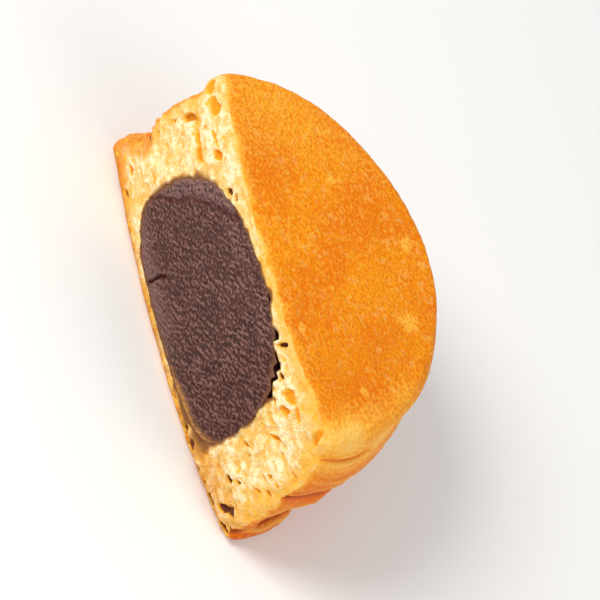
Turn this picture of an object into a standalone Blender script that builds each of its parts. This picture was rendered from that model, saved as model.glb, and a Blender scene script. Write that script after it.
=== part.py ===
"""Half of a round griddle cake filled with smooth red bean paste, cut through the middle.

Metres, +Z up. The half lies on its browned underside with the cut face towards -Y. The origin is the
bottom centre of its box. Two solids: the cake, with a pocket open at the cut, and the paste that fills it.
A turn is an angle about Z, from the +X end of the cut (0) round the back to the -X end (pi).
"""

from math import cos, pi, sin

import bmesh
import bpy
from mathutils import Vector

MM = 0.001

# The cake
CAKE_RADIUS = 39.5 * MM
THICKNESS = 36.2 * MM
FLAT_TOP_RADIUS = 34.6 * MM
FLAT_BASE_RADIUS = 36.6 * MM
TOP_DIP = 0.5 * MM  # how much lower its middle is than its rim
TOP_RINGS = (0.8, 0.5)  # shares of its radius where the top bends down to the dip
OUTLINE_RIPPLE = 0.35 * MM  # how far the dough strays from a true circle
CAKE_TURNS = 54  # steps round the half circle

# The cut swells a little: its middle stands this far in front of its two ends
CUT_SWELL = 2.5 * MM
CUT_STRIP = 4.0 * MM  # width of the upright strips that make the swollen face
STRIP_REACH = 0.85  # share of a solid's half-width that is cut into strips
HAIR = 0.001 * MM  # closer than this to the cut plane is on it
SHARP_ANGLE = 0.7  # radians between faces that show as an edge

# The side is a stack of four rolls of dough. spare is how far a roll stays inside the cake's radius at the
# back, lean how much fuller it is at +X than at the back (and slimmer at -X), spread how much fuller at both
# ends of the cut, and lip how far its lower half hangs out over its upper half.
ROLLS = {
    "base": dict(spare=0.0 * MM, lean=0.2 * MM, spread=0.3 * MM, lip=0.6 * MM, squareness=2.2, steps=8),
    "fold": dict(spare=0.7 * MM, lean=1.0 * MM, spread=0.9 * MM, lip=0.0 * MM, squareness=2.6, steps=7),
    "shoulder": dict(spare=1.4 * MM, lean=1.3 * MM, spread=0.6 * MM, lip=1.1 * MM, squareness=2.0, steps=9),
    "lid": dict(spare=2.8 * MM, lean=0.5 * MM, spread=0.4 * MM, lip=0.4 * MM, squareness=2.3, steps=8),
}

# The creases between the rolls, upwards. height is a share of the thickness: rise lifts it towards +X, sag
# lowers it at the back. depth is measured below the slimmer roll beside it, and deepen adds to it at +X.
CREASES = [
    dict(height=0.14, rise=-0.05, sag=-0.07, ripple=0.014, waves=5, shift=0.4, depth=0.7 * MM, deepen=0.6 * MM),
    dict(height=0.44, rise=0.10, sag=0.03, ripple=0.016, waves=5, shift=2.1, depth=1.9 * MM, deepen=-0.2 * MM),
    dict(height=0.84, rise=0.04, sag=0.02, ripple=0.008, waves=6, shift=1.2, depth=0.6 * MM, deepen=-0.3 * MM),
]

# The paste: a flat-bottomed lump under a rounded roof, squarer at +X than at -X
PASTE_LEFT = 23.8 * MM
PASTE_RIGHT = 25.2 * MM
PASTE_DEPTH = 24.5 * MM
PASTE_FLOOR = 2.4 * MM
PASTE_ROOF = 33.6 * MM
PASTE_WAIST = 13.0 * MM  # height of its widest level
PASTE_LOWER_POWER = 3.6
PASTE_UPPER_POWERS = (2.8, 2.0)  # at +X and at -X
PASTE_TURNS = 30
PASTE_STEPS = 28
PASTE_GAP = 0.3 * MM

# Where the crumb has torn away from the paste, at the upper +X part of the cut. at is the middle of a tear
# up the paste's profile (0 at its waist, 1 at its roof), half its half-width in the same measure.
TEARS = [
    dict(at=0.33, half=0.13, depth=1.5 * MM),
    dict(at=0.59, half=0.08, depth=1.2 * MM),
    dict(at=0.76, half=0.07, depth=0.8 * MM),
]
TEAR_REACH = 0.35  # how far round the turn a tear runs into the cake, in radians


def oval(u, power):
    """How full a roll is at u, from -1 at its lower crease to 1 at its upper one."""
    return max(0.0, 1 - abs(u) ** power) ** (1 / power)


def eased_steps(count):
    """Values from -1 to 1, closer together at both ends."""
    return [-cos(pi * k / count) for k in range(count + 1)]


def roll_radius(roll, turn):
    ripple = OUTLINE_RIPPLE * (0.6 * sin(3 * turn + 0.8) + 0.4 * sin(7 * turn + 2.0))
    return CAKE_RADIUS - roll["spare"] + roll["lean"] * cos(turn) + roll["spread"] * cos(turn) ** 2 + ripple


def crease_height(crease, turn):
    wander = crease["rise"] * cos(turn) - crease["sag"] * sin(turn)
    ripple = crease["ripple"] * sin(crease["waves"] * turn + crease["shift"])
    return THICKNESS * (crease["height"] + wander + ripple)


def crease_depth(crease, turn):
    unevenness = 1 + 0.4 * sin((crease["waves"] + 2) * turn + 2 * crease["shift"])
    return max(0.0, crease["depth"] + crease["deepen"] * cos(turn)) * unevenness


def cake_profile(turn):
    """(radius, height) from the rim of the flat underside, up round the rolls, to the flat of the top."""
    crests = [roll_radius(roll, turn) for roll in ROLLS.values()]
    heights = [0.0] + [crease_height(crease, turn) for crease in CREASES] + [THICKNESS]
    edges = [FLAT_BASE_RADIUS + OUTLINE_RIPPLE * sin(4 * turn)]
    edges += [min(crests[k : k + 2]) - crease_depth(crease, turn) for k, crease in enumerate(CREASES)]
    edges += [FLAT_TOP_RADIUS + OUTLINE_RIPPLE * sin(5 * turn + 1)]

    points = []
    for k, roll in enumerate(ROLLS.values()):
        first = 0 if k == 0 else 1  # a crease is the last point of the roll under it
        for u in eased_steps(roll["steps"])[first:]:
            edge = edges[k] if u < 0 else edges[k + 1]
            fullness = crests[k] - edge - roll["lip"] * u
            radius = edge + fullness * oval(u, roll["squareness"])
            height = heights[k] + (heights[k + 1] - heights[k]) * (u + 1) / 2
            points.append((radius, height))
    for share in TOP_RINGS:
        points.append((edges[-1] * share, THICKNESS - TOP_DIP * (1 - share**2)))
    return points


def paste_profile(turn, grow=0.0, torn=False):
    """(radius, height) of the paste from the flat of its floor, out and up, to the flat of its roof."""
    side = (1 - cos(turn)) / 2
    half_width = PASTE_RIGHT + (PASTE_LEFT - PASTE_RIGHT) * side + grow
    upper_power = PASTE_UPPER_POWERS[0] + (PASTE_UPPER_POWERS[1] - PASTE_UPPER_POWERS[0]) * side
    points = []
    for k in range(PASTE_STEPS):
        climb = -1 + (2 * k + 1) / PASTE_STEPS
        across = cos(climb * pi / 2)
        up = sin(climb * pi / 2)
        tear = tear_depth(climb, turn) if torn else 0.0
        if climb < 0:
            height = PASTE_WAIST - (PASTE_WAIST - PASTE_FLOOR + grow) * (-up) ** (2 / PASTE_LOWER_POWER)
            radius = half_width * across ** (2 / PASTE_LOWER_POWER)
        else:
            height = PASTE_WAIST + (PASTE_ROOF - PASTE_WAIST + grow) * up ** (2 / upper_power) + tear * up
            radius = half_width * across ** (2 / upper_power) + tear * across
        points.append((radius, height))
    points[0] = (points[0][0], PASTE_FLOOR - grow)
    points[-1] = (points[-1][0], PASTE_ROOF + grow)
    return points


def tear_depth(climb, turn):
    into_cake = max(0.0, 1 - turn / TEAR_REACH)
    return into_cake * sum(tear["depth"] * max(0.0, 1 - abs(climb - tear["at"]) / tear["half"]) for tear in TEARS)


def half_turned(name, profile_at, turns, depth_scale=1.0, poke=0.0):
    """A closed solid: the profile swept through half a turn, with the swollen cut across its front.

    depth_scale squashes it front to back, and poke pushes its cut face out by that much.
    """
    bm = bmesh.new()
    columns = []
    for k in range(turns + 1):
        turn = pi * k / turns
        column = []
        for radius, height in profile_at(turn):
            column.append(bm.verts.new((radius * cos(turn), depth_scale * radius * sin(turn), height)))
        columns.append(column)
    for left, right in zip(columns, columns[1:]):
        for k in range(len(left) - 1):
            bm.faces.new((left[k], right[k], right[k + 1], left[k + 1]))
    bm.faces.new([column[0] for column in columns])
    bm.faces.new([column[-1] for column in columns])
    bm.faces.new(columns[0] + columns[-1][::-1])
    split_cut_face(bm)
    swell_cut_face(bm, poke)
    bmesh.ops.triangulate(bm, faces=bm.faces[:])
    bmesh.ops.recalc_face_normals(bm, faces=bm.faces)

    mesh = bpy.data.meshes.new(name)
    bm.to_mesh(mesh)
    bm.free()
    mesh.shade_smooth()
    mesh.set_sharp_from_angle(angle=SHARP_ANGLE)
    made = bpy.data.objects.new(name, mesh)
    bpy.context.collection.objects.link(made)
    return made


def on_cut(vert):
    return abs(vert.co.y) < HAIR


def split_cut_face(bm):
    """Cuts the flat front into upright strips, so that it can swell."""
    reach = STRIP_REACH * max(abs(vert.co.x) for vert in bm.verts)
    strips = int(reach / CUT_STRIP)
    for k in range(-strips, strips):
        front = [face for face in bm.faces if all(on_cut(vert) for vert in face.verts)]
        edges = {edge for face in front for edge in face.edges}
        verts = {vert for face in front for vert in face.verts}
        plane_point = ((k + 0.5) * CUT_STRIP, 0, 0)
        bmesh.ops.bisect_plane(bm, geom=front + list(edges) + list(verts), plane_co=plane_point, plane_no=(1, 0, 0))


def swell_cut_face(bm, poke):
    for vert in bm.verts:
        if on_cut(vert):
            vert.co.y -= poke
        middle = 1 - (vert.co.x / CAKE_RADIUS) ** 2
        towards_cut = min(1.0, max(0.0, 1 - vert.co.y / CAKE_RADIUS))
        vert.co.y -= CUT_SWELL * middle * towards_cut


def food_material(name, colour, roughness):
    material = bpy.data.materials.new(name)
    material.use_nodes = True
    shader = material.node_tree.nodes["Principled BSDF"]
    shader.inputs["Base Color"].default_value = (*colour, 1)
    shader.inputs["Roughness"].default_value = roughness
    return material


def make_cake():
    cake = half_turned("cake", cake_profile, CAKE_TURNS)
    cake.data.materials.append(food_material("golden_batter", (0.87, 0.32, 0.04), 0.7))
    return cake


def make_paste():
    paste = half_turned("paste", paste_profile, PASTE_TURNS, PASTE_DEPTH / PASTE_LEFT)
    paste.data.materials.append(food_material("bean_paste", (0.12, 0.06, 0.05), 0.55))
    return paste


def cut_pocket(cake):
    """Hollows the cake for the paste, with a gap all round it and the tears beside it."""
    depth_scale = (PASTE_DEPTH + PASTE_GAP) / (PASTE_LEFT + PASTE_GAP)
    pocket = half_turned("pocket", pocket_profile, PASTE_TURNS, depth_scale, poke=1 * MM)
    pocket.hide_render = True
    pocket.display_type = "WIRE"
    cut = cake.modifiers.new("pocket", "BOOLEAN")
    cut.operation = "DIFFERENCE"
    cut.solver = "EXACT"
    cut.object = pocket
    return pocket


def pocket_profile(turn):
    return paste_profile(turn, grow=PASTE_GAP, torn=True)


def stand_on_origin(pieces):
    """Puts the bottom centre of the cake's box at the origin. Everything hangs on one empty."""
    corners = [Vector(corner) for corner in pieces[0].bound_box]
    low = Vector(map(min, *corners))
    high = Vector(map(max, *corners))
    axis = bpy.data.objects.new("cake_axis", None)
    bpy.context.collection.objects.link(axis)
    axis.location = (-(low.x + high.x) / 2, -(low.y + high.y) / 2, -low.z)
    for piece in pieces:
        piece.parent = axis


def main():
    for old in list(bpy.data.objects):
        bpy.data.objects.remove(old)
    cake = make_cake()
    paste = make_paste()
    pocket = cut_pocket(cake)
    stand_on_origin([cake, paste, pocket])


main()
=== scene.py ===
from itertools import product
from math import cos, pi, radians, sin

import bpy
import numpy as np
from mathutils import Matrix, Vector
from mathutils.geometry import delaunay_2d_cdt


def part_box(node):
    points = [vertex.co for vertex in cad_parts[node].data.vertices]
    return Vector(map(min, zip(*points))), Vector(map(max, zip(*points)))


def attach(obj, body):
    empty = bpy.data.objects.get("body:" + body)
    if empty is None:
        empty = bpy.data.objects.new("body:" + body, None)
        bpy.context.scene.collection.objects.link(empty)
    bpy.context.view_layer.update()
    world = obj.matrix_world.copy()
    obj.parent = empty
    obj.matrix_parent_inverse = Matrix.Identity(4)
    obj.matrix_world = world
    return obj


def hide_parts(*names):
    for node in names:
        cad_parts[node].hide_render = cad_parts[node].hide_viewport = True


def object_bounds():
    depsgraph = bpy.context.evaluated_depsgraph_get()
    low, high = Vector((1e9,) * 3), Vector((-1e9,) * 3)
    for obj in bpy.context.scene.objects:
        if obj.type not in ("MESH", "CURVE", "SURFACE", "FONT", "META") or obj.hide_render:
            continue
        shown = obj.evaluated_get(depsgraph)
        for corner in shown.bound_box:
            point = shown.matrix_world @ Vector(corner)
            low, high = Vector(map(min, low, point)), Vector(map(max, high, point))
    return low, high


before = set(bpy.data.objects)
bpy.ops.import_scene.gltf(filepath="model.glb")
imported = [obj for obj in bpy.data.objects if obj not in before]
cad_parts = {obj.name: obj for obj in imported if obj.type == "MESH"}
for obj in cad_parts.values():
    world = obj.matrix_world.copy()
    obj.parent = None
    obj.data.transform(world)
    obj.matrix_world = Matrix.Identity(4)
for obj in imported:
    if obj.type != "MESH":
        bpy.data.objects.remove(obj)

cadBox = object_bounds()
mm = 0.001  # shapes are worked out in millimetres and made in metres

# x runs along the cut, y away from it and z up from the underside. Turn goes round the side, from
# 0 at the cut's +X end to pi at its -X end. Lengths are in millimetres where no note says otherwise.

# the half cake's form, close to that of its solids
cake = dict(
    radius=39.5,
    thickness=36.2,
    flatTop=34.6,
    flatBase=36.6,
    topDip=0.5,
    ripple=0.35,
    cutSwell=2.5,  # how far the middle of the cut stands in front of its ends
    sharpAngle=55,
)
# the rolls of the side, upwards. spare keeps a roll inside the radius, lean brings it out towards
# +X, spread towards both ends, and lip brings its lower half out.
rolls = [
    dict(spare=0.0, lean=0.2, spread=0.3, lip=0.6, squareness=2.2, steps=26),
    dict(spare=0.7, lean=1.0, spread=0.9, lip=0.0, squareness=2.6, steps=34),
    dict(spare=1.4, lean=1.3, spread=0.6, lip=1.1, squareness=2.0, steps=40),
    dict(spare=2.8, lean=0.5, spread=0.4, lip=0.4, squareness=2.3, steps=24),
]
# height, rise, sag, ripple and dip are shares of the thickness, depth and deepen are in millimetres
creases = [
    dict(height=0.14, rise=-0.05, sag=-0.07, ripple=0.014, waves=5, shift=0.4,
         depth=0.7, deepen=0.6, dip=0.0),
    dict(height=0.44, rise=0.10, sag=0.03, ripple=0.016, waves=5, shift=2.1,
         depth=1.9, deepen=-0.2, dip=0.09),
    dict(height=0.84, rise=0.04, sag=0.02, ripple=0.008, waves=6, shift=1.2,
         depth=0.6, deepen=-0.3, dip=0.0),
]
skin = dict(
    turns=236,
    topRing=0.8,
    baseRing=1.5,
    lumps=0.2,
    wrinkles=0.12,
    grain=0.07,
    pleats=34,
    blisters=26,
    softEdge=0.35,  # how far the skin sinks beside the cut
    ragged=0.2,  # how far the cut's edge wanders in and out
    rowGap=0.002,  # how far each row stays above the one before
)
paste = dict(
    left=23.8,
    right=25.2,
    depth=24.5,
    floor=2.4,
    roof=33.6,
    waist=13.0,
    lowerPower=3.6,
    upperPowers=(2.8, 2.0),
    steps=120,
    turns=40,
    crowding=0.07,  # how closely the turns stand beside the cut
    raggedness=0.35,
    overlap=0.12,  # how far the crumb closes in on the paste, so that no gap shows
)
# climb, depth: how deep the crumb is torn beside the paste's upper edge at the +X end. Climb goes
# up the outline, from -1 at its floor to 1 at its roof. Fingers of crumb stand between the gaps.
tears = [
    (0.28, 0.0), (0.32, 0.9), (0.35, 1.5), (0.39, 0.9), (0.43, 1.1), (0.47, 1.7),
    (0.51, 2.1), (0.55, 1.9), (0.59, 0.9), (0.62, 0.1), (0.66, 0.1), (0.68, 2.1),
    (0.70, 1.9), (0.73, 0.1), (0.76, 0.0), (0.84, 0.1), (0.87, 1.1), (0.91, 0.0),
]


def rollRadius(roll, turn):
    endwards = np.cos(turn)
    ripple = cake["ripple"] * (0.6 * np.sin(3 * turn + 0.8) + 0.4 * np.sin(7 * turn + 2.0))
    bare = cake["radius"] - roll["spare"]
    return bare + roll["lean"] * endwards + roll["spread"] * endwards**2 + ripple


def creaseHeight(crease, turn):
    wander = crease["rise"] * np.cos(turn) - crease["sag"] * np.sin(turn)
    ripple = crease["ripple"] * np.sin(crease["waves"] * turn + crease["shift"])
    dip = crease["dip"] * np.exp(-(((turn - 0.55) / 0.22) ** 2))
    return cake["thickness"] * (crease["height"] + wander + ripple - dip)


def creaseDepth(crease, turn):
    unevenness = 1 + 0.4 * np.sin((crease["waves"] + 2) * turn + 2 * crease["shift"])
    if crease["height"] > 0.8:
        # the top one nearly closes behind and beside the +X end
        closed = 0.8 * np.sin(turn) ** 1.5 * (0.7 + 0.3 * np.sin(6 * turn))
        unevenness *= (1 - closed) * smoothStep(0.2, 1.0, turn)
    if crease["dip"] > 0:
        # the one that dips is shallower at the +X end
        unevenness *= 0.45 + 0.55 * smoothStep(0.0, 0.18, turn)
    return np.maximum(0, crease["depth"] + crease["deepen"] * np.cos(turn)) * unevenness


def skinRows(turn):
    # radius and height of each row of the skin, from the middle of the underside to the middle of
    # the top, and the rows at which the side starts and ends
    crests = [rollRadius(roll, turn) for roll in rolls]
    heights = [0 * turn]
    edges = [cake["flatBase"] + cake["ripple"] * np.sin(4 * turn)]
    for k, crease in enumerate(creases):
        heights.append(creaseHeight(crease, turn))
        edges.append(np.minimum(*crests[k : k + 2]) - creaseDepth(crease, turn))
    heights.append(0 * turn + cake["thickness"])
    edges.append(cake["flatTop"] + cake["ripple"] * np.sin(5 * turn + 1))

    radius = []
    height = []
    baseRings = int(cake["flatBase"] / skin["baseRing"])
    for k in range(1, baseRings):
        radius.append(edges[0] * k / baseRings)
        height.append(0 * turn)
    for k, roll in enumerate(rolls):
        first = 0 if k == 0 else 1
        for step in range(first, roll["steps"] + 1):
            u = -cos(pi * step / roll["steps"])
            oval = max(0, 1 - abs(u) ** roll["squareness"]) ** (1 / roll["squareness"])
            edge = edges[k] if u < 0 else edges[k + 1]
            radius.append(edge + (crests[k] - edge - roll["lip"] * u) * oval)
            height.append(heights[k] + (heights[k + 1] - heights[k]) * (u + 1) / 2)
    sideEnd = len(radius)
    topRings = int(cake["flatTop"] / skin["topRing"])
    for k in range(topRings - 1, 0, -1):
        share = k / topRings
        radius.append(edges[-1] * share)
        height.append(0 * turn + cake["thickness"] - cake["topDip"] * (1 - share**2))
    return np.array(radius), np.array(height), baseRings - 1, sideEnd


def sideDents(turn, height):
    # how far the side stands back: low beside the +X end, and over the lowest lobe of the -X end.
    # Two folds beside the +X end stand forward instead.
    low = smoothStep(0.03, 0.15, turn) * smoothStep(0.95, 0.5, turn) * smoothStep(16, 9, height)
    above = smoothStep(2.5, 6, height)
    low *= np.maximum(smoothStep(0.26, 0.5, turn), 0.1 + 0.9 * above)
    low *= 1.0 + 0.7 * np.maximum(smoothStep(0.3, 0.5, turn), above)
    lobe = smoothStep(6.3, 9.8, height) * smoothStep(12.3, 11.2, height)
    lobe *= 1.7 * smoothStep(2.5, 2.95, turn)
    lower = smoothStep(10, 14, height) * smoothStep(18.5, 16.5, height)
    lower *= 0.4 * smoothStep(0.15, 0.3, turn)
    upper = smoothStep(18, 22, height) * smoothStep(30, 25, height)
    upper *= 0.3 * smoothStep(0.1, 0.25, turn)
    return low + lobe - (lower + upper) * smoothStep(0.65, 0.45, turn)


# noise and small tools


def latticeNoise(points, size, seed):
    # smooth noise from -1 to 1; size is the width of its lumps
    place = points / size + seed * 17.3
    cell = np.floor(place).astype(np.int64)
    part = place - cell
    part = part * part * (3 - 2 * part)
    total = np.zeros(len(points))
    for corner in product((0, 1), repeat=3):
        spread = (cell + corner) * [73856093, 19349663, 83492791]
        mixed = spread[:, 0] ^ spread[:, 1] ^ spread[:, 2]
        mixed = (mixed ^ (mixed >> 13)) * 1274126177 & 0xFFFFFFFF
        mixed = (mixed ^ (mixed >> 15)) * 2246822519 & 0xFFFFFFFF
        weight = np.ones(len(points))
        for axis, step in enumerate(corner):
            weight *= part[:, axis] if step else 1 - part[:, axis]
        total += weight * (mixed / 0x7FFFFFFF - 1)
    return total


def twoNoises(points, size, seed):
    return latticeNoise(points, size, seed) + latticeNoise(points, size / 2, seed + 3) / 2


def smoothStep(low, high, value):
    t = np.clip((value - low) / (high - low), 0, 1)
    return t * t * (3 - 2 * t)


def insideOutline(points, outline):
    inside = np.zeros(len(points), bool)
    x, z = points[:, 0], points[:, 1]
    for (x1, z1), (x2, z2) in zip(outline, np.roll(outline, -1, axis=0)):
        if z1 == z2:
            continue
        crosses = (z1 > z) != (z2 > z)
        inside ^= crosses & (x < (x2 - x1) * (z - z1) / (z2 - z1) + x1)
    return inside


def distanceToOutline(points, outline):
    nearest = np.full(len(points), 1e9)
    for a, b in zip(outline, np.roll(outline, -1, axis=0)):
        along = b - a
        length = max(along @ along, 1e-12)
        share = np.clip((points - a) @ along / length, 0, 1)
        nearest = np.minimum(nearest, np.hypot(*(points - a - share[:, None] * along).T))
    return nearest


def swellCut(points):
    middle = 1 - (points[:, 0] / cake["radius"]) ** 2
    towardsCut = np.clip(1 - points[:, 1] / cake["radius"], 0, 1)
    swollen = points.copy()
    swollen[:, 1] -= cake["cutSwell"] * middle * towardsCut
    return swollen


def fillCut(rim, holes, spacing, seed):
    # triangles across the cut between closed outlines of (x, z), with an even scatter of points
    # inside. Returns the scatter, and corners numbered through the rim, the holes and the scatter.
    random = np.random.default_rng(seed)
    low, high = rim.min(0), rim.max(0)
    columns = np.arange(low[0], high[0], spacing)
    rows = np.arange(low[1], high[1], spacing * 0.87)
    grid = np.stack(np.meshgrid(columns, rows), -1)
    grid[1::2, :, 0] += spacing / 2
    scatter = grid.reshape(-1, 2)
    scatter = scatter + random.uniform(-0.22, 0.22, scatter.shape) * spacing
    outlines = [rim] + holes
    keep = insideOutline(scatter, rim)
    for hole in holes:
        keep &= ~insideOutline(scatter, hole)
    for outline in outlines:
        keep &= distanceToOutline(scatter, outline) > spacing * 0.5
    scatter = scatter[keep]
    fixed = np.concatenate(outlines)
    edges = []
    start = 0
    for outline in outlines:
        count = len(outline)
        edges += [(start + k, start + (k + 1) % count) for k in range(count)]
        start += count
    flat = [Vector(point) for point in np.concatenate([fixed, scatter])]
    made, _, faces, origins, _, _ = delaunay_2d_cdt(flat, edges, [], 0, 1e-6)
    faces = np.array(faces)
    source = np.array([origin[0] for origin in origins])
    middle = np.array(made)[faces].mean(1)
    keep = insideOutline(middle, rim)
    for hole in holes:
        keep &= ~insideOutline(middle, hole)
    return scatter, source[faces[keep]]


def closedGrid(index, flip=False):
    # quads over a grid of vertex numbers, with its first and last rows each closed by one face
    corners = [index[:-1, :-1], index[:-1, 1:], index[1:, 1:], index[1:, :-1]]
    faces = np.stack(corners, -1).reshape(-1, 4).tolist()
    faces += [index[-1].tolist(), index[0][::-1].tolist()]
    return [face[::-1] for face in faces] if flip else faces


def faceForward(points, triangles):
    # turns triangles so that they face -Y, as the cut does
    a, b, c = (points[triangles[:, k]] for k in range(3))
    backwards = np.cross(b - a, c - a)[:, 1] > 0
    triangles[backwards] = triangles[backwards][:, ::-1]
    return triangles


def gridNumbers(grid, first=0):
    return first + np.arange(grid.shape[0] * grid.shape[1]).reshape(grid.shape[:2])


def aroundGrid(index):
    # the closed outline where a grid meets the cut: up its first column and down its last
    return np.concatenate([index[:, 0], index[::-1, -1]])


def onPlane(points):
    # points (x, z) of the cut as (x, 0, z)
    return np.stack([points[:, 0], 0 * points[:, 0], points[:, 1]], -1)


def makePiece(name, points, faces, materials, slots, marks, sharpAngle):
    mesh = bpy.data.meshes.new(name)
    mesh.from_pydata((points * mm + cutCentre).tolist(), [], faces)
    for material in materials:
        mesh.materials.append(material)
    mesh.polygons.foreach_set("material_index", slots)
    for markName, values in marks.items():
        mark = mesh.attributes.new(markName, "FLOAT", "POINT")
        mark.data.foreach_set("value", np.ascontiguousarray(values, np.float32))
    mesh.validate()
    mesh.shade_smooth()
    mesh.set_sharp_from_angle(angle=radians(sharpAngle))
    piece = bpy.data.objects.new(name, mesh)
    bpy.context.scene.collection.objects.link(piece)
    return piece


# where the solids' own centre lies in the frame: midway between the cut's ends, at the underside
leftReach = skinRows(np.array([pi]))[0].max()
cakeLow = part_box("cake")[0]
cutCentre = np.array([cakeLow.x + leftReach * mm, cakeLow.y + cake["cutSwell"] * mm, cakeLow.z])


# the skin: top, folded side and underside


def cutEdgeShift(points, awayFromCut):
    # the cut's edge is bent inwards and isn't straight; points are (x, anything, z)
    flat = points * [1, 0, 1]
    shift = skin["ragged"] * (latticeNoise(flat, 3.1, 91) + 0.6 * latticeNoise(flat, 1.2, 93))
    return shift * np.exp(-awayFromCut / 1.3)


def cutEnds(points):
    # 0 along the middle of the cut, 1 at its +X end and half that at the top of its -X end
    minusEnd = smoothStep(-26, -37, points[:, 0]) * smoothStep(22, 32, points[:, -1])
    return smoothStep(20, 36, points[:, 0]) + 0.5 * minusEnd


# turn, half length in turn, height share, slope, depth, half width: beside the +X end of the cut
frontPleats = [
    (0.20, 0.22, 0.852, -0.01, 0.5, 0.4),
    (0.22, 0.20, 0.71, -0.03, 0.3, 0.35),
    (0.32, 0.25, 0.62, -0.06, 0.35, 0.35),
    (0.50, 0.35, 0.66, -0.05, 0.35, 0.4),
    (0.20, 0.14, 0.43, 0.02, 0.4, 0.35),
    (0.50, 0.40, 0.33, 0.08, 0.4, 0.45),
    (0.22, 0.22, 0.24, 0.05, 0.45, 0.4),
    (0.25, 0.28, 0.12, 0.02, 0.55, 0.4),
    (0.30, 0.24, 0.06, 0.0, 0.5, 0.4),
    (0.75, 0.35, 0.42, -0.04, 0.5, 0.45),
    (0.80, 0.40, 0.72, -0.08, 0.4, 0.4),
]


def addPleats(turn, heightShare):
    # thin creases along the side, each with a thin raised lip under it
    random = np.random.default_rng(21)
    pleat = np.zeros_like(heightShare)
    lip = np.zeros_like(heightShare)
    pleats = list(frontPleats)
    levels = [0.1, 0.22, 0.28, 0.33, 0.37, 0.4, 0.44, 0.5, 0.66]
    for _ in range(skin["pleats"]):
        level = random.choice(levels) + random.uniform(-0.03, 0.03)
        slope = random.uniform(-0.12, 0.05)
        middle = random.uniform(0.75, pi)
        length = random.uniform(0.3, 1.0)
        depth = random.uniform(0.25, 0.7)
        width = random.uniform(0.3, 0.55)
        pleats.append((middle, length, level, slope, depth, width))
    for count, (middle, length, level, slope, depth, width) in enumerate(pleats):
        width /= cake["thickness"]
        away = (turn - middle) / length
        waves = 0.012 * np.sin(7 * turn + middle * 9) + 0.005 * np.sin(23 * turn + count)
        above = heightShare - level - slope * away - waves
        deepest = depth * np.clip(1 - away**2, 0, 1) ** 0.7
        pleat += deepest * np.exp(-((above / width) ** 2))
        lip += deepest * np.exp(-(((above + 1.9 * width) / (1.1 * width)) ** 2))
    return pleat, lip


# x, y, z, size of the blisters that stand out on the top and at its edge
topSpots = [
    (-14.6, 18.9, 36, 1.6),
    (13.6, 26.4, 36, 2.5),
    (14.8, 3.2, 36, 1.0),
    (-2.0, 31.5, 36, 1.6),
    (27.3, 11.8, 36, 1.3),
    (6.9, 12.4, 36, 0.7),
    (-29.2, 10.6, 36, 1.2),
    (-33.5, 22.0, 36, 2.2),
]


def rowsAround(values, reach):
    # the rows from reach below to reach above each row
    padded = np.pad(values, ((reach, reach), (0, 0)), mode="edge")
    return np.array([padded[k : k + len(values)] for k in range(2 * reach + 1)])


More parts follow.
